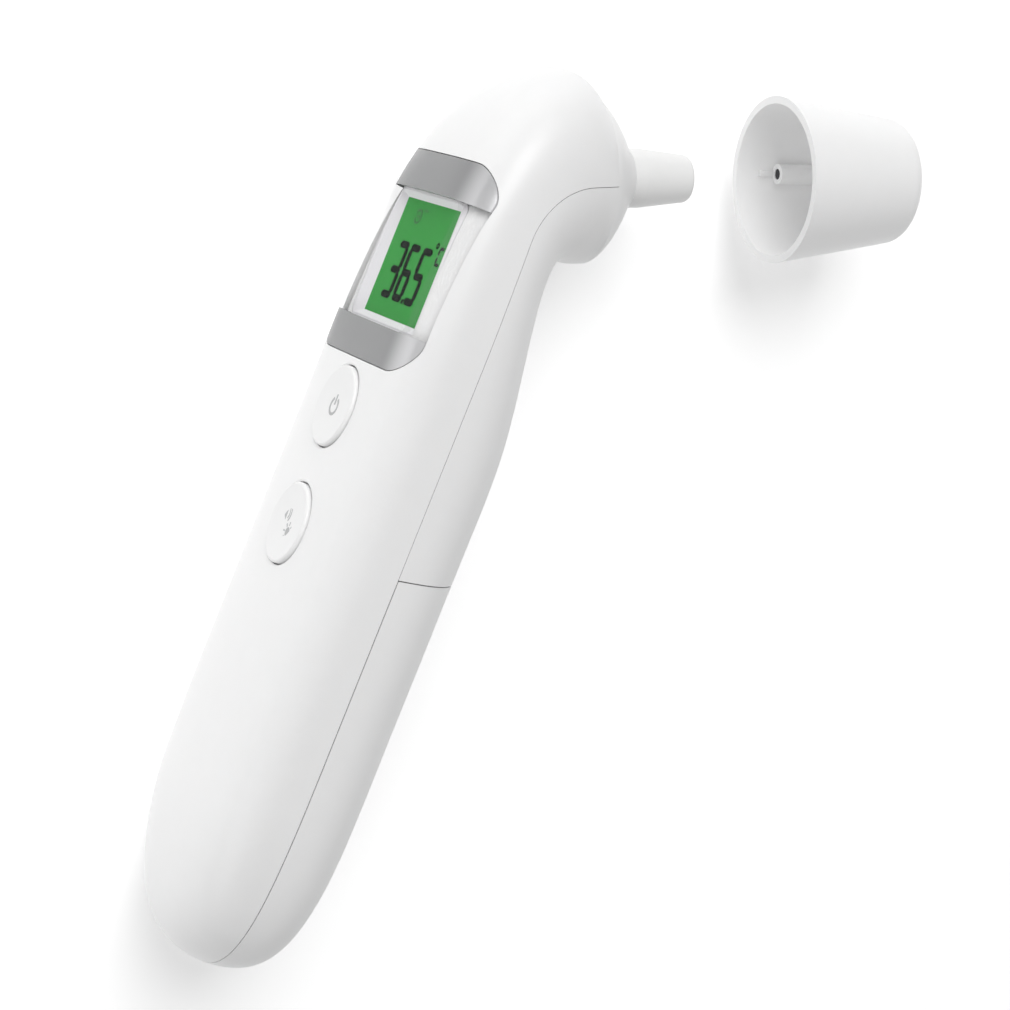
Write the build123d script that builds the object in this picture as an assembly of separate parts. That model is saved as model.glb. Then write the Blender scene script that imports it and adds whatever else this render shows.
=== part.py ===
from build123d import *
import os
from math import cos, sin, radians, pi

os.makedirs("parts", exist_ok=True)

# Infrared ear thermometer, modelled upright: X to its right, Y from the display face to the back,
# Z up the handle, zero at the front face over the power button. All lengths are in mm.
# The finished pieces are laid on their left side at the end of this file.

# ---- driving dimensions -------------------------------------------------------------------------
WALL = 2.2              # shell wall
SKIN = 1.3              # depth of the display panel let into the shell
HALF_WIDTH = 20.0       # half the handle's width
DEPTH = 26.4            # handle, front to back
SPLIT_Y = 12.3          # parting plane of the handle
SEAM = 0.10             # open width of the visible seam between the shells
DOOR_GAP = 0.20         # running gap round the battery door
DOOR_TOP = -21.3        # top edge of the battery door where it meets the front shell
DOOR_SLOPE = 8.0        # that edge rises this many degrees to the back

TILT = 20.9             # the probe points this many degrees above level
HEAD = (25.5, 49.4)     # centre of the head's front circle, (Y, Z)
HEAD_R = 14.1
DOME_H = 7.8            # the nose dome's height at the probe
PROBE_BASE_R = 5.0      # where the probe sits in the dome
PROBE_ROOT_R = 4.9      # the straight root that a cover slides over
PROBE_TIP_R = 3.95
PROBE_ROOT = (8.0, 10.4)                # the straight root, from the head circle
PROBE_LEN = 19.4        # tip of the probe, from the head circle

BUTTON_R = 6.85
BUTTON_GAP = 0.25
BUTTON_RISE = 0.6
BUTTON_Z = (0.0, -20.3)
PRESS = 0.5             # travel of a button

PANEL = (18.3, 8.4, 44.0, 6.0)          # half width, bottom, top, corner radius
LCD_Z = 26.07
WINDOW = (13.5, 11.3, 2.0)              # half width, half height, corner radius
LCD_VIEW = (10.8, 9.9)                  # visible area, half width and half height
LCD_Y = 3.0                             # front of the LCD glass
BOARD_Y = 7.6                           # front of the main board
BOARD_T = 1.2

CELL_R, CELL_BODY, NUB_R, NUB_H = 5.25, 43.3, 1.9, 1.2      # AAA cell
CELL_X, CELL_Y = 5.6, 17.5
BAY_TOP, BAY_END = -30.9, -80.5
PLATE_T = 0.3
SPRING_H = 4.5

CAP_MOUTH = 36.4        # the cap's mouth, from the head circle
CAP_LEN = 24.0
CAP_R, CAP_END_R = 14.15, 10.4
CAP_WALL = 1.3
POST_R, POST_OFF, POST_IN = 1.75, 10.0, 6.5     # moulded post: radius, distance off axis, setback

# ---- frames and small helpers -------------------------------------------------------------------
P = Vector(0, cos(radians(TILT)), sin(radians(TILT)))       # along the probe
Q = Vector(0, -sin(radians(TILT)), cos(radians(TILT)))      # square to it, towards the crown
HEAD_C = Vector(0, *HEAD)
PROBE_AXIS = Axis(HEAD_C, P)
PROBE_PLANE = Plane(HEAD_C, x_dir=(1, 0, 0), z_dir=P)       # its Z runs along the probe
REVOLVE_PLANE = Plane(HEAD_C, x_dir=Q, z_dir=P.cross(Q) * -1)
pieces = {}


def box(x0, x1, y0, y1, z0, z1):
    return Pos((x0 + x1) / 2, (y0 + y1) / 2, (z0 + z1) / 2) * Box(x1 - x0, y1 - y0, z1 - z0)


def rod_y(x, z, r, y0, y1):
    """A cylinder square to the display face."""
    return Pos(x, (y0 + y1) / 2, z) * Rot(90, 0, 0) * Cylinder(r, y1 - y0)


def rod_z(x, y, r, z0, z1):
    return Pos(x, y, (z0 + z1) / 2) * Cylinder(r, z1 - z0)


def disc(r, s0, s1, x=0.0, q=0.0):
    """A cylinder about the probe's direction, from s0 to s1 past the head circle."""
    return PROBE_PLANE * Pos(x, q, (s0 + s1) / 2) * Cylinder(r, s1 - s0)


def prism_y(half_w, z0, z1, r, y0, y1):
    """A rounded rectangle, seen from the front, from y0 to y1."""
    plane = Plane((0, y1, (z0 + z1) / 2), x_dir=(1, 0, 0), z_dir=(0, -1, 0))
    return extrude(plane * RectangleRounded(2 * half_w, z1 - z0, r), amount=y1 - y0)


def turned(points):
    """A ring turned about the probe from (distance past the head circle, radius) corners."""
    pts = [HEAD_C + P * s + Q * r for s, r in points]
    return revolve(Face(Wire.make_polygon(pts, close=True)), axis=PROBE_AXIS)


def one(shape):
    """The largest solid of a shape, so that no sliver is kept."""
    return max(shape.solids(), key=lambda s: s.volume)


# ---- the outer form -----------------------------------------------------------------------------
# Each station is a flat ring: front point (Y, Z), back point (Y, Z), half width, and the exponents
# of its front and back halves (2 is an ellipse, more is squarer).
crown = HEAD_C + Q * HEAD_R
chin = HEAD_C - Q * HEAD_R
STATIONS = [
    ((11.2, -92.6), (16.2, -92.6), 3.0, 2.0, 2.0),
    ((7.0, -91.1), (20.6, -91.1), 8.6, 2.2, 2.2),
    ((3.6, -87.4), (23.6, -87.4), 13.6, 2.6, 2.4),
    ((1.6, -81.3), (25.3, -81.3), 17.1, 3.2, 2.6),
    ((0.5, -72.5), (26.1, -72.5), 19.1, 4.2, 2.8),
    ((0.1, -61.5), (DEPTH, -61.5), 19.9, 4.8, 2.8),
]
STATIONS += [((0.0, z), (DEPTH, z), HALF_WIDTH, 5.0, 2.8) for z in (-50.0, -38.5, -27.0, -15.5, -4.0)]
STATIONS += [
    ((0.0, 7.5), (25.5, 7.0), HALF_WIDTH, 5.0, 2.8),
    ((0.0, 18.5), (23.8, 17.0), HALF_WIDTH, 4.8, 2.7),
    ((0.2, 29.0), (22.4, 25.2), 19.7, 4.4, 2.65),
    ((0.7, 39.5), (22.1, 31.4), 19.2, 3.8, 2.6),
    ((3.4, 52.4), (23.7, 34.6), 18.2, 3.0, 2.5),
    ((14.6, 64.2), (28.2, 35.4), 15.6, 2.2, 2.1),
    ((crown.Y, crown.Z), (chin.Y, chin.Z), HEAD_R, 2.0, 2.0),
]
RING_POINTS = 24


def ring(front, back, half_w, m_front, m_back, inset):
    f, b = Vector(0, *front), Vector(0, *back)
    step = (b - f).normalized() * inset
    f, b, half_w = f + step, b - step, half_w - inset
    mid, half = (f + b) / 2, (f - b) / 2
    pts = []
    for k in range(RING_POINTS):
        turn = 2 * pi * k / RING_POINTS - pi / 2
        c, s = cos(turn), sin(turn)
        m = m_front if s >= 0 else m_back
        r = (abs(c) ** m + abs(s) ** m) ** (-1 / m)
        pts.append(mid + Vector(half_w * c * r, 0, 0) + half * (s * r))
    return Wire(Spline(*pts, periodic=True))


def form(inset):
    """The outer form, or the same form set in by an even depth."""
    stations = list(STATIONS)
    if inset:
        (y0, z0), (y1, _), w, m, n = stations[0]
        grow = 1.0 + inset
        stations[0] = ((y0 - grow, z0 + inset), (y1 + grow, z0 + inset), w + grow, m, n)
        (y0, z0), (y1, _), w, m, n = stations[1]
        stations[1] = ((y0 - 0.6, z0 + inset), (y1 + 0.6, z0 + inset), w + 0.6, m, n)
        (y0, z0), (y1, _), w, m, n = stations[2]
        stations[2] = ((y0, z0 + 0.6 * inset), (y1, z0 + 0.6 * inset), w, m, n)
    return Solid.make_loft([ring(*st, inset) for st in stations], ruled=False)


outer = form(0.0)
inner = form(WALL)
panel_depth = form(SKIN)
wall = outer - inner

# The parting line runs up the middle of the handle, then curves to follow the probe.
BEND = 9.0
FAR = 60.0


def joined(*curves):
    """One wire from curves that meet end to end."""
    return Wire([edge for curve in curves for edge in curve.edges()])


def front_side(offset):
    """Everything in front of and above the parting line, moved back by offset."""
    start = HEAD_C - Q * offset
    corner = start - P * ((start.Y - SPLIT_Y - offset) / P.Y)
    low, bend0 = Vector(0, corner.Y, -2 * FAR), corner - Vector(0, 0, BEND)
    bend1, tip = corner + P * BEND, start + P * FAR
    outline = joined(
        Line(low, bend0), TangentArc(bend0, bend1, tangent=(0, 0, 1)), Line(bend1, tip),
        Polyline(tip, tip + Q * FAR, Vector(0, -FAR, 2 * FAR), Vector(0, -FAR, low.Z), low))
    return extrude(Face(outline), amount=FAR, dir=(1, 0, 0), both=True)


front_region = front_side(0.0)
door_edge = Plane((0, SPLIT_Y, DOOR_TOP), x_dir=(1, 0, 0), z_dir=(0, -sin(radians(DOOR_SLOPE)),
                                                                 cos(radians(DOOR_SLOPE))))


def below_door_edge(offset):
    return door_edge * Pos(0, 0, offset - FAR) * Box(4 * FAR, 4 * FAR, 2 * FAR)


# ---- front shell --------------------------------------------------------------------------------
half_w, panel_low, panel_top, panel_r = PANEL
win_w, win_h, win_r = WINDOW
BOARD_SCREWS = ((-12.0, -10.4), (12.0, -10.4), (0.0, 41.4))
CASE_SCREWS = ((-10.5, -24.4), (10.5, -24.4))
TRAY_SCREW = (0.0, -84.6)
TRAY_Y = 10.8

front_shell = wall & front_region
recess = prism_y(half_w, panel_low, panel_top, panel_r, -5, 9) - panel_depth
front_shell -= recess
front_shell -= prism_y(win_w + 0.5, LCD_Z - win_h - 0.5, LCD_Z + win_h + 0.5, win_r, -5, 9)
for z in BUTTON_Z:
    front_shell -= rod_y(0, z, BUTTON_R + BUTTON_GAP, -5, 5)
    front_shell -= Pos(0, -0.02, z) * Rot(90, 0, 0) * Cone(BUTTON_R, BUTTON_R + 1.1, 0.7)
for (x, z), r, hole, root, top, deep in (
    (BOARD_SCREWS[0], 2.3, 0.8, 1.2, BOARD_Y, 3.6), (BOARD_SCREWS[1], 2.3, 0.8, 1.2, BOARD_Y, 3.6),
    (BOARD_SCREWS[2], 2.3, 0.8, 2.7, BOARD_Y, 3.6), (CASE_SCREWS[0], 2.5, 1.0, 1.2, SPLIT_Y, 7.0),
    (CASE_SCREWS[1], 2.5, 1.0, 1.2, SPLIT_Y, 7.0), (TRAY_SCREW, 2.3, 0.8, 3.6, TRAY_Y, 4.6),
):
    front_shell += rod_y(x, z, r, root, top) - rod_y(x, z, hole, top - deep, top + 1)
pieces["front_shell"] = front_shell

# ---- rear shell and battery door ----------------------------------------------------------------
rear_shell = wall - front_side(SEAM) - below_door_edge(0)
tab = box(-13.6, 13.6, SPLIT_Y, SPLIT_Y + 2.0, -27.6, DOOR_TOP + 1.0)
tab += box(-18.6, 18.6, SPLIT_Y, SPLIT_Y + 2.0, DOOR_TOP + 0.6, DOOR_TOP + 4.0)
rear_shell += tab
for x, z in CASE_SCREWS:
    rear_shell -= rod_y(x, z, 1.3, SPLIT_Y - 1, SPLIT_Y + 1.0)
    rear_shell -= rod_y(x, z, 2.3, SPLIT_Y + 1.0, SPLIT_Y + 4)
pieces["rear_shell"] = rear_shell

HOOK_X0, HOOK_X1 = 15.5, 18.4
HOOK_Y0, HOOK_T = 14.3, 1.2
RAIL_Y0, RAIL_T = 15.8, 1.3
HOOK_Z = (-66.0, -33.0)
door = (wall & below_door_edge(-DOOR_GAP)) - front_side(DOOR_GAP)
for side in (-1, 1):
    x0, x1 = sorted((side * HOOK_X0, side * HOOK_X1))
    door += box(x0, x1, HOOK_Y0, HOOK_Y0 + HOOK_T, *HOOK_Z)
for k in range(5):
    grip = box(-7.5, 7.5, DEPTH - 0.5, DEPTH + 2, -34.6 - 2.4 * k, -33.6 - 2.4 * k)
    door -= grip
pieces["battery_door"] = door

# ---- head: dome, probe and what they hold -------------------------------------------------------
dome_outside = [(0.0, HEAD_R), (1.3, 13.2), (2.9, 11.5), (4.6, 9.3), (6.2, 7.0), (DOME_H, PROBE_BASE_R)]
dome_inside = [(s - 1.5, max(r - 1.3, PROBE_BASE_R)) for s, r in dome_outside[1:]]
dome_curve = Spline(*[HEAD_C + P * s + Q * r for s, r in dome_outside])
hollow = [HEAD_C + P * s + Q * r for s, r in dome_inside[::-1]]
back_edge = HEAD_C + Q * (HEAD_R - WALL)
profile = joined(dome_curve, Polyline(dome_curve @ 1, *hollow[:-1], back_edge, dome_curve @ 0))
pieces["nose_dome"] = revolve(Face(profile), axis=PROBE_AXIS)

TUBE_R, TUBE_IN = 2.6, 2.2
FLANGE = (1.0, 2.6, 6.8)
sleeve = turned([(FLANGE[0], TUBE_R), (FLANGE[0], FLANGE[2]), (FLANGE[1], FLANGE[2]),
                 (FLANGE[1], PROBE_BASE_R), (PROBE_ROOT[0], PROBE_BASE_R),
                 (PROBE_ROOT[0], PROBE_ROOT_R), (PROBE_ROOT[1], PROBE_ROOT_R),
                 (PROBE_LEN - 0.6, PROBE_TIP_R + 0.02), (PROBE_LEN - 0.2, PROBE_TIP_R - 0.2),
                 (PROBE_LEN, PROBE_TIP_R - 0.6), (PROBE_LEN, 3.0), (PROBE_LEN - 0.7, 3.0),
                 (PROBE_LEN - 0.7, TUBE_R)])
pieces["probe_sleeve"] = sleeve
pieces["probe_window"] = disc(3.0, PROBE_LEN - 0.7, PROBE_LEN - 0.3)
pieces["waveguide_tube"] = turned([(-1.0, TUBE_IN), (-1.0, TUBE_R), (PROBE_LEN - 0.7, TUBE_R),
                                   (PROBE_LEN - 0.7, TUBE_IN)])
CAN_R, CAN = 2.35, (-4.6, -1.0)
BLOCK = (-5.2, 1.0)
block = disc(6.8, *BLOCK) - disc(CAN_R, CAN[0], CAN[1]) - disc(TUBE_R, CAN[1], BLOCK[1] + 1)
block -= disc(0.9, BLOCK[0] - 1, CAN[0])
pieces["sensor_block"] = block
pieces["thermopile_sensor"] = disc(CAN_R, *CAN) + disc(0.85, BLOCK[0], CAN[0])
BOARD_S = (-6.4, -5.2)
pieces["sensor_board"] = disc(9.6, *BOARD_S)
hall = PROBE_PLANE * Pos(-8.1, 0, BOARD_S[1] + 0.7) * Box(2.4, 3.4, 1.4)
pieces["hall_sensor"] = hall

# ---- display ------------------------------------------------------------------------------------
gap = 0.15
bezel = prism_y(half_w - gap, panel_low + gap, panel_top - gap, panel_r - gap, -5, 9)
bezel = (bezel & outer) - panel_depth
window = prism_y(win_w, LCD_Z - win_h, LCD_Z + win_h, win_r, -5, 9)
pieces["display_bezel"] = bezel - window
lens = prism_y(win_w - 0.1, LCD_Z - win_h + 0.1, LCD_Z + win_h - 0.1, win_r - 0.1, -5, 9)
pieces["display_lens"] = (lens & form(0.1)) - form(1.1)

FRAME_Y = 2.15
frame = prism_y(win_w + 0.3, LCD_Z - win_h - 0.3, LCD_Z + win_h + 0.3, win_r, FRAME_Y, LCD_Y)
view_w, view_h = LCD_VIEW
funnel = Solid.make_loft([
    (Plane((0, y, LCD_Z), x_dir=(1, 0, 0), z_dir=(0, -1, 0)) * Rectangle(2 * w, 2 * h)).wire()
    for y, w, h in ((FRAME_Y, win_w - 0.5, win_h - 0.4), (LCD_Y, view_w, view_h))], ruled=True)
pieces["lcd_surround"] = (frame - funnel) & panel_depth

GLASS = (-13.0, 13.0, LCD_Y, LCD_Y + 2.2)
LIGHT_Y = (GLASS[3], BOARD_Y)
pieces["lcd_glass"] = box(*GLASS, 13.4, 37.0)
pieces["lcd_backlight"] = box(-12.4, 12.4, *LIGHT_Y, 16.0, 36.6)
pieces["zebra_strip"] = box(-12.0, 12.0, *LIGHT_Y, 13.6, 15.6)

# ---- main board ---------------------------------------------------------------------------------
BOARD_BACK = BOARD_Y + BOARD_T
board = box(-14.6, 14.6, BOARD_Y, BOARD_BACK, -20.9, 38.0)
board += box(-10.0, 10.0, BOARD_Y, BOARD_BACK, 38.0, 44.4)
board += box(-7.2, 7.2, BOARD_Y, BOARD_BACK, -28.2, -20.9)
for x, z in BOARD_SCREWS:
    board -= rod_y(x, z, 1.1, BOARD_Y - 1, BOARD_BACK + 1)
pieces["main_board"] = board
SWITCH_Y, PLUNGER_Y = 5.0, 4.35
for name, z in zip(("power", "mode"), BUTTON_Z):
    switch = box(-3, 3, SWITCH_Y, BOARD_Y, z - 3, z + 3)
    switch += rod_y(0, z, 1.7, PLUNGER_Y, SWITCH_Y)
    pieces[name + "_switch"] = switch
pieces["controller_chip"] = box(-8.6, -0.6, BOARD_BACK, BOARD_BACK + 1.4, -16.0, -8.0)
pieces["crystal_can"] = box(3.4, 7.6, BOARD_BACK, BOARD_BACK + 1.3, -14.4, -12.2)
pieces["smoothing_capacitor"] = rod_y(5.6, -5.2, 2.0, BOARD_BACK, BOARD_BACK + 3.2)
pieces["buzzer"] = rod_y(-1.5, 8.6, 6.0, BOARD_BACK, BOARD_BACK + 3.0) - rod_y(
    -1.5, 8.6, 0.8, BOARD_BACK + 2.2, BOARD_BACK + 4)
pieces["cable_socket"] = box(-3.4, 3.4, BOARD_BACK, BOARD_BACK + 2.2, 30.6, 34.0)

start = HEAD_C + P * BOARD_S[0] - Q * 3.0
end = Vector(0, BOARD_BACK + 1.1, 34.0)
ribbon_path = Spline(start, end, tangents=(P * -1, Vector(0, 0, -1)), tangent_scalars=(1.0, 1.0))
ribbon_start = Plane(start, x_dir=(1, 0, 0), z_dir=P * -1)
pieces["sensor_cable"] = sweep(ribbon_start * Rectangle(5.0, 0.7), path=ribbon_path)

# ---- buttons ------------------------------------------------------------------------------------
BUTTON_FLANGE = (2.5, 3.2, 7.9)
for name, z in zip(("power", "mode"), BUTTON_Z):
    button = rod_y(0, z, BUTTON_R, -BUTTON_RISE, BUTTON_FLANGE[0])
    button = fillet(button.edges().group_by(Axis.Y)[0], 0.45)
    dish = Pos(0, -BUTTON_RISE - 59.65, z) * Sphere(60.0)
    button -= dish
    button += rod_y(0, z, BUTTON_FLANGE[2], *BUTTON_FLANGE[:2])
    button += rod_y(0, z, 1.5, BUTTON_FLANGE[1], PLUNGER_Y - PRESS - 0.05)
    pieces[name + "_button"] = button

# ---- battery bay --------------------------------------------------------------------------------
FLOOR_T, SIDE_X = 1.0, 11.4
tray = box(-SIDE_X - 1, SIDE_X + 1, TRAY_Y, TRAY_Y + FLOOR_T, BAY_END - 1.2, BAY_TOP + 1.2)
tray += box(-4.5, 4.5, TRAY_Y, TRAY_Y + FLOOR_T, -87.0, BAY_END)
for side in (-1, 1):
    x0, x1 = sorted((side * SIDE_X, side * (SIDE_X + 1)))
    tray += box(x0, x1, TRAY_Y, RAIL_Y0 + RAIL_T, BAY_END - 1.2, BAY_TOP + 1.2)
    x0, x1 = sorted((side * SIDE_X, side * (HOOK_X0 + 0.9)))
    tray += box(x0, x1, RAIL_Y0, RAIL_Y0 + RAIL_T, *HOOK_Z)
tray += box(-SIDE_X, SIDE_X, TRAY_Y, CELL_Y + 2.5, BAY_TOP, BAY_TOP + 1.2)
tray += box(-SIDE_X, SIDE_X, TRAY_Y, CELL_Y + 2.5, BAY_END - 1.2, BAY_END)
for x in (-CELL_X, CELL_X):
    tray -= rod_z(x, CELL_Y, CELL_R + 0.12, BAY_END, BAY_TOP)
    tray -= box(x - 1.4, x + 1.4, TRAY_Y + FLOOR_T, TRAY_Y + 2.0, BAY_TOP - 1, BAY_TOP + 2)
tray -= rod_y(*TRAY_SCREW, 1.1, TRAY_Y - 1, TRAY_Y + 2)
pieces["battery_tray"] = tray


def cell(x, low, up):
    """An AAA cell whose flat end is at height low (or high, when it points down)."""
    a, b = (low, low + CELL_BODY) if up else (low - CELL_BODY, low)
    body = fillet(rod_z(x, CELL_Y, CELL_R, a, b).edges(), 0.35)
    nub = rod_z(x, CELL_Y, NUB_R, b, b + NUB_H) if up else rod_z(x, CELL_Y, NUB_R, a - NUB_H, a)
    return body + nub


def coil(x, z0, z1, wire=0.35, radius=3.0, turns=4):
    """An open coil spring between z0 and z1."""
    z0, z1 = z0 + wire, z1 - wire
    path = Pos(x, CELL_Y, z0) * Helix(pitch=(z1 - z0) / turns, height=z1 - z0, radius=radius)
    path = path.edge()
    section = Plane(path @ 0, z_dir=path % 0) * Circle(wire)
    return sweep(section, path=path)


NUB_TOP = BAY_TOP - PLATE_T
BRIDGE = BAY_END + PLATE_T
pieces["battery_left"] = cell(-CELL_X, NUB_TOP - NUB_H - CELL_BODY, True)
pieces["battery_right"] = cell(CELL_X, BRIDGE + NUB_H + CELL_BODY, False)
for name, x in (("contact_positive", -CELL_X), ("contact_negative", CELL_X)):
    plate = box(x - 4.2, x + 4.2, CELL_Y - 3.6, CELL_Y + 2.4, NUB_TOP, BAY_TOP)
    plate += box(x - 1.2, x + 1.2, TRAY_Y + 1.3, CELL_Y, NUB_TOP, BAY_TOP)
    plate += box(x - 1.2, x + 1.2, TRAY_Y + 1.3, TRAY_Y + 1.6, NUB_TOP, BAY_TOP + 3.0)
    pieces[name] = plate
pieces["bridge_contact"] = box(-CELL_X - 4.2, CELL_X + 4.2, CELL_Y - 3.6, CELL_Y + 2.4, BAY_END, BRIDGE)
pieces["negative_spring"] = coil(CELL_X, BRIDGE + NUB_H + CELL_BODY, NUB_TOP)
pieces["bridge_spring"] = coil(-CELL_X, BRIDGE, NUB_TOP - NUB_H - CELL_BODY)
for name, x in (("battery_wire_red", -1), ("battery_wire_black", 1)):
    a = Vector(x * CELL_X, TRAY_Y + 0.74, BAY_TOP + 1.6)
    b = Vector(x * 4.6, BOARD_BACK, -26.2)
    path = Spline(a, b, tangents=((0, 0, 1), (0, -1, 0)))
    pieces[name] = sweep(Plane(a, z_dir=(0, 0, 1)) * Circle(0.55), path=path)


# ---- screws -------------------------------------------------------------------------------------
def screw(x, z, seat, length, r, head_r, head_h):
    body = rod_y(x, z, r, seat - length, seat) + rod_y(x, z, head_r, seat, seat + head_h)
    for turn in (0, 90):
        slot = Pos(x, seat + head_h, z) * Rot(0, turn, 0) * Box(head_r * 1.2, 0.8, 0.4)
        body -= slot
    return body


for name, (x, z) in zip("abc", BOARD_SCREWS):
    pieces["board_screw_" + name] = screw(x, z, BOARD_BACK, 4.4, 0.8, 1.7, 0.9)
for name, (x, z) in zip(("left", "right"), CASE_SCREWS):
    pieces["case_screw_" + name] = screw(x, z, SPLIT_Y + 1.0, 6.6, 1.0, 1.9, 0.95)
pieces["tray_screw"] = screw(*TRAY_SCREW, TRAY_Y + FLOOR_T, 5.0, 0.8, 1.7, 0.9)

# ---- probe cap ----------------------------------------------------------------------------------
end_s = CAP_MOUTH + CAP_LEN
cap_slope = (CAP_R - CAP_END_R) / CAP_LEN
cap = turned([(CAP_MOUTH, 0), (CAP_MOUTH, CAP_R), (end_s, CAP_END_R), (end_s, 0)])
cap = fillet(cap.edges().sort_by(PROBE_AXIS)[-1], 2.6)
cap_hollow = turned([(CAP_MOUTH - 1, 0), (CAP_MOUTH - 1, CAP_R - CAP_WALL + cap_slope),
                     (end_s - CAP_WALL, CAP_END_R - CAP_WALL + 0.2), (end_s - CAP_WALL, 0)])
cap_solid = cap
cap = cap - cap_hollow
post = disc(POST_R, CAP_MOUTH + POST_IN, end_s - 0.5, x=-POST_OFF)
web = PROBE_PLANE * Pos(-POST_OFF - 1.5, 0, (CAP_MOUTH + POST_IN + 3 + end_s) / 2) * Box(
    3.0, 1.2, CAP_LEN - POST_IN - 3)
cap += (post + web) & cap_solid
for k in range(3):
    turn = Rot(0, 0, 60 + 120 * k)
    rib = PROBE_PLANE * turn * Pos(CAP_R - CAP_WALL - 0.9, 0, CAP_MOUTH + 10.0) * Box(1.6, 1.0, 12.0)
    cap += rib & cap_solid
cap -= disc(0.95, CAP_MOUTH + POST_IN - 1, CAP_MOUTH + POST_IN + 3.0, x=-POST_OFF)
pieces["probe_cap"] = cap
pieces["cap_magnet"] = disc(0.95, CAP_MOUTH + POST_IN + 0.2, CAP_MOUTH + POST_IN + 3.0, x=-POST_OFF)

# ---- lay the thermometer on its left side and write every piece ---------------------------------
# Row X is its back, row Y is up the handle, row Z is its right; zero is under its middle.
lay = Location(Plane((0, 0, 0), x_dir=(0, 0, 1), z_dir=(0, 1, 0)))
laid = {name: lay * one(shape) for name, shape in pieces.items()}
outline = ("front_shell", "battery_door", "nose_dome", "power_button", "probe_cap")
corners = [point for name in outline for point in laid[name].tessellate(0.01, 0.1)[0]]
low = [min(getattr(point, axis) for point in corners) for axis in "XYZ"]
high = [max(getattr(point, axis) for point in corners) for axis in "XYZ"]
shift = Pos(-(low[0] + high[0]) / 2, -(low[1] + high[1]) / 2, -low[2])
for name, shape in laid.items():
    export_step(shift * shape, f"parts/{name}.step")
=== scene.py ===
from math import cos, sin, pi, radians

import bmesh
import bpy
from mathutils import Matrix, Vector


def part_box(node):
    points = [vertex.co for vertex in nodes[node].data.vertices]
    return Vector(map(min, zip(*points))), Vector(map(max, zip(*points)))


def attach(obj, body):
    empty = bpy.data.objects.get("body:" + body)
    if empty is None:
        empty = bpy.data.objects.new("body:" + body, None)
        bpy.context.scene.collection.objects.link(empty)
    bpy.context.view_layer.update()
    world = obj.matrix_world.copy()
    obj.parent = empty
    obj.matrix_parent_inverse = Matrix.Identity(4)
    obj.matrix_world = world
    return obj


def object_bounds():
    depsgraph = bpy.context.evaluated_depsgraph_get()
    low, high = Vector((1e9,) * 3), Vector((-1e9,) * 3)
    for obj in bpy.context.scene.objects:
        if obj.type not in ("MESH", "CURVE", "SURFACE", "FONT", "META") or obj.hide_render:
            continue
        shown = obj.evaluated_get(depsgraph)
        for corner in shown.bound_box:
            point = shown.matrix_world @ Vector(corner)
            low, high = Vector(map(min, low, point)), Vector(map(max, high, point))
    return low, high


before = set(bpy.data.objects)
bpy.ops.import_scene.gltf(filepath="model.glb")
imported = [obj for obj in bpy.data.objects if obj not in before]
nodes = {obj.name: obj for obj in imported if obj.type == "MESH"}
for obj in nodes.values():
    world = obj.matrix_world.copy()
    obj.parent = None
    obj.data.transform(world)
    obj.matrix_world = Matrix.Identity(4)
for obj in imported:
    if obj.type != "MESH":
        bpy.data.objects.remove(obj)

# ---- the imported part's own size, before anything is added ---------------------------------------
cad_low, cad_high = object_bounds()
MM = 0.001
scene = bpy.context.scene
collection = scene.collection

# The thermometer lies on its left side: row X is its back, row Y is up the handle and row Z its
# right. at() takes a place as (right, back, up the handle) in mm from the front over the power
# button, and finds that point from the LCD glass, whose own place in that system is GLASS_CORNER.
GLASS_CORNER = Vector((-13.0, 3.0, 13.4))
glass_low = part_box("lcd_glass")[0]


def turn(x, y, z):
    """(right, back, up the handle) as a row vector."""
    return Vector((y, z, x))


ORIGIN = glass_low - turn(*GLASS_CORNER) * MM


def at(x, y, z):
    return ORIGIN + turn(x, y, z) * MM


# ---- materials ----------------------------------------------------------------------------------
GRAIN_DEPTH = 0.04 * MM
COAT_ROUGHNESS = 0.12
BLEED = (0.0012, 0.0011, 0.001)         # how far light travels under the surface of white plastic


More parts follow.
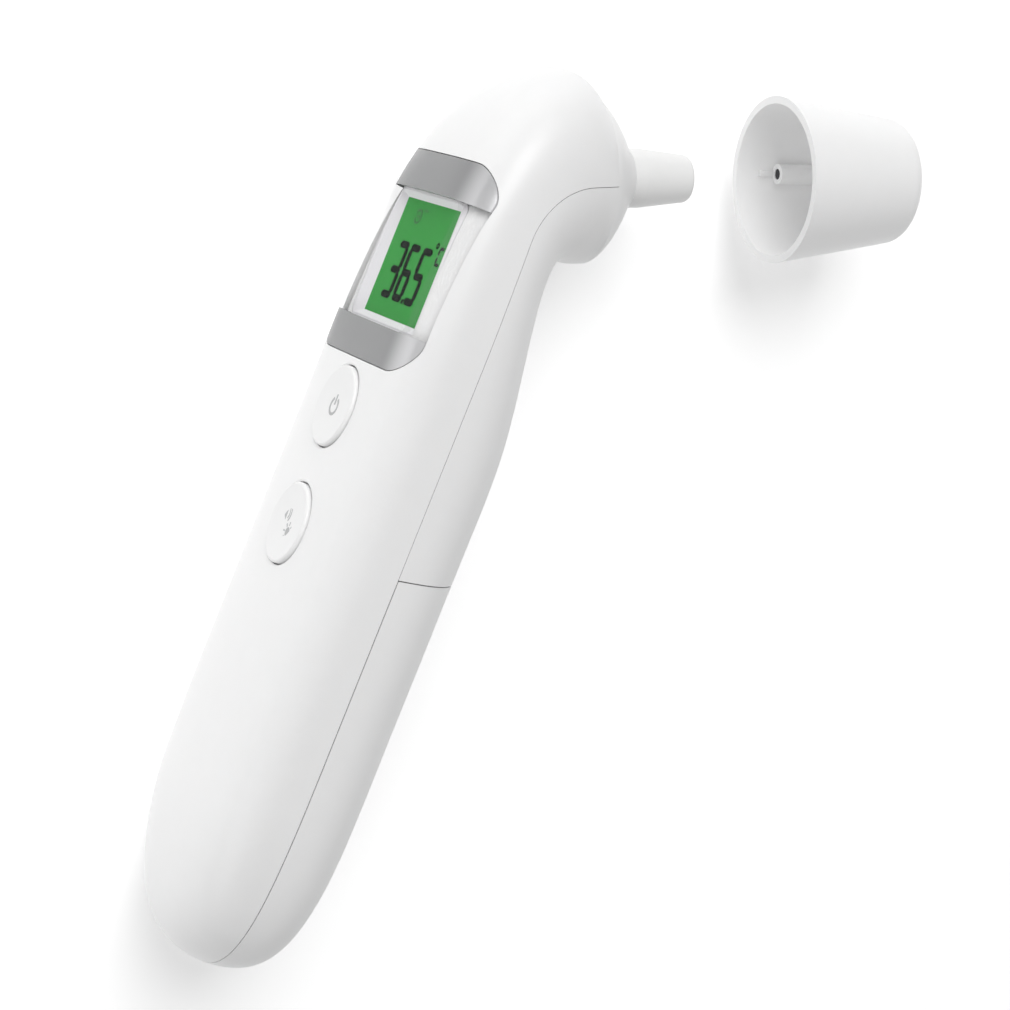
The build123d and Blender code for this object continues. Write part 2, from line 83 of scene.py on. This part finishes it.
def material(name, colour, rough=0.4, metal=0.0, spread=0.02, speck=900.0, bump=0.0, grain=2500.0,
             rough_spread=0.06, stretch=(1, 1, 1), coat=0.0, ior=1.46, alpha=1.0, glow=0.0,
             spec=0.5, subsurface=0.0):
    """A moulded, metal or printed surface: colour and roughness vary a little, with a fine grain."""
    mat = bpy.data.materials.new(name)
    mat.use_nodes = True
    tree = mat.node_tree
    shader = tree.nodes["Principled BSDF"]
    link = tree.links.new
    coords = tree.nodes.new("ShaderNodeTexCoord")
    mapping = tree.nodes.new("ShaderNodeMapping")
    mapping.inputs["Scale"].default_value = stretch
    link(coords.outputs["Object"], mapping.inputs["Vector"])

    clouds = tree.nodes.new("ShaderNodeTexNoise")
    clouds.inputs["Scale"].default_value = speck
    clouds.inputs["Detail"].default_value = 4.0
    link(mapping.outputs["Vector"], clouds.inputs["Vector"])
    ramp = tree.nodes.new("ShaderNodeMix")
    ramp.data_type = "RGBA"
    dark = [max(0.0, c * (1 - spread)) for c in colour]
    light = [min(1.0, c * (1 + spread)) for c in colour]
    ramp.inputs["A"].default_value = (*dark, 1)
    ramp.inputs["B"].default_value = (*light, 1)
    link(clouds.outputs["Fac"], ramp.inputs["Factor"])
    link(ramp.outputs["Result"], shader.inputs["Base Color"])

    spreader = tree.nodes.new("ShaderNodeMapRange")
    spreader.inputs["To Min"].default_value = max(0.02, rough - rough_spread)
    spreader.inputs["To Max"].default_value = min(1.0, rough + rough_spread)
    link(clouds.outputs["Fac"], spreader.inputs["Value"])
    link(spreader.outputs["Result"], shader.inputs["Roughness"])

    if bump:
        fine = tree.nodes.new("ShaderNodeTexNoise")
        fine.inputs["Scale"].default_value = grain
        fine.inputs["Detail"].default_value = 3.0
        link(mapping.outputs["Vector"], fine.inputs["Vector"])
        relief = tree.nodes.new("ShaderNodeBump")
        relief.inputs["Strength"].default_value = bump
        relief.inputs["Distance"].default_value = GRAIN_DEPTH
        link(fine.outputs["Fac"], relief.inputs["Height"])
        link(relief.outputs["Normal"], shader.inputs["Normal"])

    shader.inputs["Metallic"].default_value = metal
    shader.inputs["IOR"].default_value = ior
    shader.inputs["Coat Weight"].default_value = coat
    shader.inputs["Coat Roughness"].default_value = COAT_ROUGHNESS
    shader.inputs["Alpha"].default_value = alpha
    shader.inputs["Specular IOR Level"].default_value = spec
    if subsurface:
        shader.inputs["Subsurface Weight"].default_value = subsurface
        shader.inputs["Subsurface Radius"].default_value = BLEED
    if glow:
        shader.inputs["Emission Color"].default_value = (*colour, 1)
        shader.inputs["Emission Strength"].default_value = glow
    return mat


WHITE = (0.90, 0.90, 0.90)
shell = material("shell_white", WHITE, rough=0.34, spread=0.012, speck=300, bump=0.10, subsurface=0.05)
shell_rear = material("shell_rear_white", (0.89, 0.89, 0.89), rough=0.40, spread=0.012, speck=300, bump=0.14,
                      subsurface=0.05)
probe = material("probe_white", (0.88, 0.88, 0.875), rough=0.36, spread=0.015, speck=500, bump=0.08)
# painted light: the cap glows faintly, brightening it and its inside as if light came through the white
# plastic
cap_white = material("cap_white", (0.89, 0.89, 0.89), rough=0.38, spread=0.012, speck=400, bump=0.12,
                     subsurface=0.05, glow=0.05)
button_white = material("button_white", (0.89, 0.89, 0.89), rough=0.38, spread=0.01, speck=600, bump=0.16)
silver = material("panel_silver", (0.235, 0.235, 0.24), rough=0.36, metal=0.5, spread=0.03, speck=1200,
                  bump=0.03, grain=9000, coat=0.3)
surround = material("surround_white", (0.86, 0.845, 0.875), rough=0.55, spread=0.015, speck=700, bump=0.1)
black_plastic = material("chip_black", (0.025, 0.025, 0.028), rough=0.55, spread=0.2, speck=3000, bump=0.3)
steel = material("plated_steel", (0.62, 0.62, 0.64), rough=0.25, metal=1.0, spread=0.06, speck=2500,
                 stretch=(1, 8, 1), bump=0.1)
screw_steel = material("screw_steel", (0.42, 0.42, 0.44), rough=0.33, metal=1.0, spread=0.1, speck=4000)
gold = material("gold_tube", (0.83, 0.60, 0.25), rough=0.16, metal=1.0, spread=0.05, speck=1500)
block = material("block_metal", (0.66, 0.66, 0.68), rough=0.35, metal=1.0, spread=0.05, speck=3500,
                 stretch=(6, 1, 1), bump=0.15)
rubber = material("strip_rubber", (0.05, 0.05, 0.052), rough=0.7, spread=0.2, speck=2000, bump=0.3)
tray = material("tray_white", (0.70, 0.70, 0.70), rough=0.5, spread=0.02, speck=500, bump=0.2)
red_wire = material("wire_red", (0.55, 0.03, 0.02), rough=0.45, spread=0.08, speck=1500)
black_wire = material("wire_black", (0.03, 0.03, 0.03), rough=0.45, spread=0.1, speck=1500)
magnet = material("magnet_dark", (0.06, 0.06, 0.065), rough=0.35, metal=0.8, spread=0.15, speck=3000)
diffuser = material("diffuser", (0.55, 0.80, 0.58), rough=0.5, spread=0.03, speck=300)
film = material("film_dark", (0.20, 0.21, 0.23), rough=0.12, spread=0.05, speck=900, coat=0.5)
ink = material("lcd_ink", (0.002, 0.008, 0.003), rough=0.8, spec=0.0, spread=0.15, speck=3000)
faint_ink = material("lcd_faint_ink", (0.035, 0.17, 0.048), rough=0.6, spec=0.1, spread=0.1, speck=3000)
print_grey = material("print_grey", (0.47, 0.47, 0.48), rough=0.5, spread=0.05, speck=4000)
solder = material("solder", (0.60, 0.61, 0.63), rough=0.22, metal=1.0, spread=0.08, speck=6000, bump=0.2)
beige = material("part_beige", (0.45, 0.36, 0.24), rough=0.5, spread=0.1, speck=4000)
clear = material("window_clear", (0.60, 0.61, 0.61), rough=0.03, spread=0.005, speck=100, rough_spread=0.01,
                 ior=1.49, alpha=0.025)
lcd_green = material("lcd_green", (0.046, 0.325, 0.062), rough=0.6, spread=0.05, speck=260, glow=0.05,
                     spec=0.0)


def overlay(mat, colour, factor):
    """Lays a second colour over a material's own, as far as another node's output says."""
    tree = mat.node_tree
    over = tree.nodes.new("ShaderNodeMix")
    over.data_type = "RGBA"
    over.inputs["B"].default_value = (*colour, 1)
    tree.links.new(factor, over.inputs["Factor"])
    tree.links.new(tree.nodes["Mix"].outputs["Result"], over.inputs["A"])
    tree.links.new(over.outputs["Result"], tree.nodes["Principled BSDF"].inputs["Base Color"])


def maths(mat, operation, first, second):
    """The output of a Math node. second is a number or another node's output."""
    tree = mat.node_tree
    node = tree.nodes.new("ShaderNodeMath")
    node.operation = operation
    tree.links.new(first, node.inputs[0])
    if isinstance(second, float):
        node.inputs[1].default_value = second
    else:
        tree.links.new(second, node.inputs[1])
    return node.outputs[0]


def shaded_place(mat):
    """The three row coordinates of the point being shaded, in metres."""
    tree = mat.node_tree
    split = tree.nodes.new("ShaderNodeSeparateXYZ")
    tree.links.new(tree.nodes["Texture Coordinate"].outputs["Object"], split.inputs[0])
    return split.outputs


def striped(mat, colour, scale, width):
    """Adds even stripes of a second colour, such as a board's tracks or a cable's conductors."""
    tree = mat.node_tree
    wave = tree.nodes.new("ShaderNodeTexWave")
    wave.bands_direction = "Z"
    wave.inputs["Scale"].default_value = scale
    tree.links.new(tree.nodes["Texture Coordinate"].outputs["Object"], wave.inputs["Vector"])
    overlay(mat, colour, maths(mat, "GREATER_THAN", wave.outputs["Fac"], width))
    return mat


CLEAR_ALPHA = 0.04
HIGHLIGHT_SPAN = (10.0, 17.5)                     # painted highlight: the silver is painted paler between these distances to the right, where its bend catches the light
# colour of the painted highlight on the silver's bend
SILVER_HIGHLIGHT = (0.66, 0.66, 0.67)


def printed_panel_and_highlight(mat):
    """The display overlay: silver print above and below the window, clear between, and a painted highlight
    that makes it paler on its bend.
    """
    tree = mat.node_tree
    place = shaded_place(mat)
    window_low, window_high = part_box("display_lens")
    between = maths(mat, "MULTIPLY", maths(mat, "GREATER_THAN", place["Y"], window_low.y),
                    maths(mat, "LESS_THAN", place["Y"], window_high.y))
    clearness = tree.nodes.new("ShaderNodeMapRange")
    clearness.inputs["To Min"].default_value = 1.0
    clearness.inputs["To Max"].default_value = CLEAR_ALPHA
    tree.links.new(between, clearness.inputs["Value"])
    tree.links.new(clearness.outputs["Result"], tree.nodes["Principled BSDF"].inputs["Alpha"])

    # painted highlight: the silver turns paler towards its right bend, in place of the light the bend
    # reflects
    bend = tree.nodes.new("ShaderNodeMapRange")
    bend.interpolation_type = "SMOOTHSTEP"
    for name, distance in zip(("From Min", "From Max"), HIGHLIGHT_SPAN):
        bend.inputs[name].default_value = at(distance, 0, 0).z
    tree.links.new(place["Z"], bend.inputs["Value"])
    overlay(mat, SILVER_HIGHLIGHT, bend.outputs["Result"])
    return mat


BAND = 11.0                             # length of the second colour at a cell's positive end


def banded_cell(mat):
    """An AAA cell's sleeve, in two plain colours."""
    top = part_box("battery_left")[1].y
    overlay(mat, (0.60, 0.42, 0.16), maths(mat, "GREATER_THAN", shaded_place(mat)["Y"], top - BAND * MM))
    return mat


silver = printed_panel_and_highlight(silver)
board = striped(material("board_green", (0.012, 0.11, 0.045), rough=0.35, spread=0.1, speck=700, coat=0.4),
                (0.02, 0.17, 0.07), scale=260.0, width=0.62)
cable = striped(material("cable_film", (0.50, 0.26, 0.06), rough=0.3, spread=0.08, speck=900, coat=0.3),
                (0.70, 0.42, 0.14), scale=350.0, width=0.55)
cell = banded_cell(material("cell_sleeve", (0.03, 0.09, 0.05), rough=0.3, spread=0.05, speck=600, coat=0.4))

# every node that isn't named here is a screw
LOOKS = {
    "front_shell": shell, "nose_dome": shell, "rear_shell": shell_rear, "battery_door": shell_rear,
    "probe_sleeve": probe, "probe_window": film, "waveguide_tube": gold, "sensor_block": block,
    "thermopile_sensor": steel, "sensor_board": board, "hall_sensor": black_plastic, "sensor_cable": cable,
    "cable_socket": surround, "display_bezel": silver, "display_lens": clear, "lcd_surround": surround,
    "lcd_glass": lcd_green, "lcd_backlight": diffuser, "zebra_strip": rubber, "main_board": board,
    "controller_chip": black_plastic, "crystal_can": steel, "smoothing_capacitor": steel,
    "power_switch": black_plastic, "mode_switch": black_plastic, "buzzer": black_plastic,
    "power_button": button_white, "mode_button": button_white, "battery_tray": tray,
    "battery_left": cell, "battery_right": cell, "contact_positive": steel, "contact_negative": steel,
    "bridge_contact": steel, "negative_spring": steel, "bridge_spring": steel,
    "battery_wire_red": red_wire, "battery_wire_black": black_wire,
    "probe_cap": cap_white, "cap_magnet": magnet,
}
for name, node in nodes.items():
    look = LOOKS.get(name, screw_steel)
    node.data.materials.clear()
    node.data.materials.append(look)


# ---- drawing helpers ----------------------------------------------------------------------------
def soften(obj, width):
    """Rounds an object's edges, by a width in mm."""
    edge = obj.modifiers.new("edges", "BEVEL")
    edge.width, edge.segments, edge.limit_method = width * MM, 2, "ANGLE"


def piece(name, bm, mat, body, bevel=0.0):
    mesh = bpy.data.meshes.new(name)
    bmesh.ops.recalc_face_normals(bm, faces=bm.faces)
    bm.to_mesh(mesh)
    bm.free()
    mesh.materials.append(mat)
    obj = bpy.data.objects.new(name, mesh)
    collection.objects.link(obj)
    if bevel:
        soften(obj, bevel)
    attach(obj, body)


def plate(bm, outline, front, back):
    """A flat shape: outline of (right, up) points in mm, between two depths behind the front."""
    rows = [[bm.verts.new(at(x, depth, z)) for x, z in outline] for depth in (front, back)]
    bm.faces.new(rows[0])
    bm.faces.new(rows[1][::-1])
    for k in range(len(outline)):
        n = (k + 1) % len(outline)
        bm.faces.new((rows[0][k], rows[1][k], rows[1][n], rows[0][n]))


def arc_band(bm, centre, r0, r1, a0, a1, front, back, steps=28):
    """Part of a flat ring, or all of it, from angle a0 to a1 in degrees."""
    whole = a1 - a0 >= 360
    cx, cz = centre
    rings = []
    for k in range(steps if whole else steps + 1):
        t = radians(a0 + (a1 - a0) * k / steps)
        rings.append([bm.verts.new(at(cx + r * cos(t), depth, cz + r * sin(t)))
                      for r, depth in ((r0, front), (r1, front), (r1, back), (r0, back))])
    for one, two in zip(rings, rings[1:] + (rings[:1] if whole else [])):
        for k in range(4):
            n = (k + 1) % 4
            bm.faces.new((one[k], one[n], two[n], two[k]))
    if not whole:
        bm.faces.new(rings[0])
        bm.faces.new(rings[-1][::-1])


def disc(bm, centre, r, front, back, steps=20):
    turns = [2 * pi * k / steps for k in range(steps)]
    plate(bm, [(centre[0] + r * cos(t), centre[1] + r * sin(t)) for t in turns], front, back)


def block_at(bm, x0, x1, y0, y1, z0, z1):
    """A box between two places to the right, two behind the front and two up the handle."""
    plate(bm, [(x0, z0), (x1, z0), (x1, z1), (x0, z1)], y0, y1)


# ---- LCD: digits, unit and a faint status mark --------------------------------------------------
glass_front = GLASS_CORNER.y
INK = (glass_front - 0.05, glass_front - 0.01)
DIGIT_LOW, DIGIT_H, DIGIT_W, STROKE = 19.1, 9.8, 4.1, 1.25
DIGITS = (("3", -7.0), ("6", -2.3), ("5", 2.7))         # figure and its left edge
POINT_X, POINT_SIZE = 1.95, 0.8
UNIT_X, UNIT_LOW, UNIT_W, UNIT_H, UNIT_STROKE = 8.6, 26.5, 1.9, 3.2, 0.55
DEGREE, DEGREE_R = (7.5, 29.7), (0.22, 0.55)
SEGMENTS = {"3": "abcdg", "6": "acdefg", "5": "acdfg", "C": "adef"}
SEGMENT_GAP = 0.12


def segment(bm, x, z, w, h, name, t, depth):
    """One bar of a seven-segment figure, with cut ends. x, z is the figure's lower left corner."""
    half, c = h / 2, t / 2
    if name in "adg":
        mid = {"a": z + h - c, "g": z + half, "d": z + c}[name]
        low, high = x + c + SEGMENT_GAP, x + w - c - SEGMENT_GAP
        shape = [(low - c, mid), (low, mid - c), (high, mid - c),
                 (high + c, mid), (high, mid + c), (low, mid + c)]
    else:
        mid = x + w - c if name in "bc" else x + c
        z0 = (z + half if name in "bf" else z + c) + SEGMENT_GAP
        z1 = (z + h - c if name in "bf" else z + half) - SEGMENT_GAP
        shape = [(mid, z0), (mid + c, z0 + c), (mid + c, z1 - c),
                 (mid, z1), (mid - c, z1 - c), (mid - c, z0 + c)]
    plate(bm, shape, *depth)


digits = bmesh.new()
for figure, x in DIGITS:
    for name in SEGMENTS[figure]:
        segment(digits, x, DIGIT_LOW, DIGIT_W, DIGIT_H, name, STROKE, INK)
block_at(digits, POINT_X, POINT_X + POINT_SIZE, *INK, DIGIT_LOW, DIGIT_LOW + POINT_SIZE)
for name in SEGMENTS["C"]:
    segment(digits, UNIT_X, UNIT_LOW, UNIT_W, UNIT_H, name, UNIT_STROKE, INK)
arc_band(digits, DEGREE, *DEGREE_R, 0, 360, *INK, steps=16)
piece("lcd_digits", digits, ink, "handset")

icons = bmesh.new()
arc_band(icons, (-4.2, 33.3), 0.95, 1.30, 200, 520, *INK)
block_at(icons, -4.8, -3.6, *INK, 33.15, 33.45)
block_at(icons, -2.6, -1.2, *INK, 34.35, 34.65)
piece("lcd_status_icons", icons, faint_ink, "handset")

# ---- printed button icons -----------------------------------------------------------------------
FACE = (-0.30, -0.255)                  # the ink, just proud of a button's face
MODE_Z = -20.3
power_icon = bmesh.new()
arc_band(power_icon, (0, -0.1), 1.15, 1.65, 122, 418, *FACE)
block_at(power_icon, -0.22, 0.22, *FACE, 0.1, 1.85)
piece("power_icon", power_icon, print_grey, "power_button")

mode_icon = bmesh.new()
sx, sz = -1.8, MODE_Z + 1.4             # a small speaker with two sound waves
block_at(mode_icon, sx - 1.3, sx - 0.5, *FACE, sz - 0.5, sz + 0.5)
plate(mode_icon, [(sx - 0.45, sz - 0.5), (sx + 0.5, sz - 1.2),
                  (sx + 0.5, sz + 1.2), (sx - 0.45, sz + 0.5)], *FACE)
for r in (1.2, 1.8):
    arc_band(mode_icon, (sx + 0.1, sz), r, r + 0.26, -38, 38, *FACE, steps=10)
sun = Vector((1.3, MODE_Z - 1.4))       # and a small sun for the backlight
disc(mode_icon, sun, 0.8, *FACE)
for k in range(8):
    ray = Vector((cos(k * pi / 4), sin(k * pi / 4)))
    side = Vector((-ray.y, ray.x)) * 0.14
    corners = ((1.05, -side), (1.7, -side), (1.7, side), (1.05, side))
    plate(mode_icon, [tuple(sun + ray * r + s) for r, s in corners], *FACE)
piece("mode_icon", mode_icon, print_grey, "mode_button")

# ---- small parts on the main board --------------------------------------------------------------
back = (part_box("main_board")[1].x - ORIGIN.x) / MM      # the board's back face
SMALL_PARTS = [(-11, 20), (-11, 23), (-11, 26), (11, 18), (11, 21), (11, 24), (8, 26), (-7, 20), (-7, 24),
               (10, -6), (10, -3), (-11, -4), (-11, 0), (11, 3), (11, 6), (11, 9), (-4, -18), (0, -18),
               (4, -18)]                                # centres, (right, up)
PART_HALF, PAD_END, PART_T = (0.55, 0.4), 0.95, 0.55
SMALL_CHIPS_Z, SMALL_CHIP_X, SMALL_CHIP = (17.5, 27.5), (-4.2, 0.6), (3.1, 1.1)     # height, thickness
LEG_W, LEG_L, LEG_T, LEG_STEP = 0.45, 0.8, 0.35, 1.25
PIN_W, PIN_L, PIN_T, PIN_STEP, FIRST_PIN, PINS = 0.3, 0.9, 0.3, 0.74, 0.55, 10

chips, pads, parts = bmesh.new(), bmesh.new(), bmesh.new()
for x, z in SMALL_PARTS:
    half_x, half_z = PART_HALF
    block_at(parts, x - half_x, x + half_x, back, back + PART_T, z - half_z, z + half_z)
    for side in (-1, 1):
        x0, x1 = sorted((x + side * half_x, x + side * PAD_END))
        block_at(pads, x0, x1, back, back + 0.45, z - 0.42, z + 0.42)
for z in SMALL_CHIPS_Z:
    height, thickness = SMALL_CHIP
    block_at(chips, *SMALL_CHIP_X, back, back + thickness, z, z + height)
    for k in range(4):
        x = SMALL_CHIP_X[0] + 0.3 + LEG_STEP * k
        for z0 in (z - LEG_L, z + height):
            block_at(pads, x, x + LEG_W, back, back + LEG_T, z0, z0 + LEG_L)
chip_low, chip_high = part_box("controller_chip")
x0, z0 = (chip_low.z - ORIGIN.z) / MM, (chip_low.y - ORIGIN.y) / MM
x1, z1 = (chip_high.z - ORIGIN.z) / MM, (chip_high.y - ORIGIN.y) / MM
for k in range(PINS):
    step = FIRST_PIN + k * PIN_STEP
    for z in (z0 - PIN_L, z1):
        block_at(pads, x0 + step, x0 + step + PIN_W, back, back + PIN_T, z, z + PIN_L)
    for x in (x0 - PIN_L, x1):
        block_at(pads, x, x + PIN_L, back, back + PIN_T, z0 + step, z0 + step + PIN_W)
piece("board_small_parts", parts, beige, "handset", bevel=0.06)
piece("board_solder", pads, solder, "handset", bevel=0.05)
piece("board_small_chips", chips, black_plastic, "handset", bevel=0.1)

# ---- soft edges on the small square parts -------------------------------------------------------
for name in ("controller_chip", "crystal_can", "power_switch", "mode_switch", "hall_sensor", "cable_socket"):
    soften(nodes[name], 0.12)

# ---- floor, light and camera --------------------------------------------------------------------
FLOOR_HALF = 3.0
floor_mesh = bpy.data.meshes.new("floor")
corners = [(-FLOOR_HALF, -FLOOR_HALF, 0), (FLOOR_HALF, -FLOOR_HALF, 0),
           (FLOOR_HALF, FLOOR_HALF, 0), (-FLOOR_HALF, FLOOR_HALF, 0)]
floor_mesh.from_pydata(corners, [], [(0, 1, 2, 3)])
floor = bpy.data.objects.new("floor", floor_mesh)
collection.objects.link(floor)
floor_white = material("floor_pale", (1.0, 1.0, 1.0), rough=0.9, spread=0.002, speck=4, glow=0.27)
floor_mesh.materials.append(floor_white)

LIGHTS = {                              # place in metres, diameter in metres, power in watts
    "key_light": ((-0.45, 0.80, 1.15), 1.0, 12.0),
    "top_fill": ((0.10, 0.20, 1.35), 1.4, 1.8),
    "low_fill": ((-0.70, -0.65, 0.80), 0.9, 1.7),
    "side_softbox": ((-1.10, 0.05, 0.52), 0.8, 0.6),
}
middle = (cad_low + cad_high) / 2
for name, (place, size, power) in LIGHTS.items():
    light = bpy.data.lights.new(name, "AREA")
    light.shape, light.size, light.energy = "DISK", size, power
    obj = bpy.data.objects.new(name, light)
    obj.location = place
    obj.rotation_euler = (middle - Vector(place)).to_track_quat("-Z", "Y").to_euler()
    collection.objects.link(obj)
world = bpy.data.worlds.new("studio")
world.use_nodes = True
world.node_tree.nodes["Background"].inputs["Color"].default_value = (1, 1, 1, 1)
world.node_tree.nodes["Background"].inputs["Strength"].default_value = 0.26
scene.world = world
scene.view_settings.view_transform = "Standard"

EYE = at(395.1, -169.3, 16.4)
BACKWARD = turn(0.887, -0.459, 0.049).normalized()
UPWARD = turn(-0.212, -0.311, 0.926).normalized()
FOCAL_LENGTH, SENSOR = 95.1, 36.0
across = UPWARD.cross(BACKWARD).normalized()
upright = BACKWARD.cross(across)
lens = bpy.data.cameras.new("camera")
lens.lens, lens.sensor_width = FOCAL_LENGTH, SENSOR
lens.clip_start, lens.clip_end = 0.01, 20.0
camera = bpy.data.objects.new("camera", lens)
camera.matrix_world = Matrix.Translation(EYE) @ Matrix((across, upright, BACKWARD)).transposed().to_4x4()
collection.objects.link(camera)
scene.camera = camera
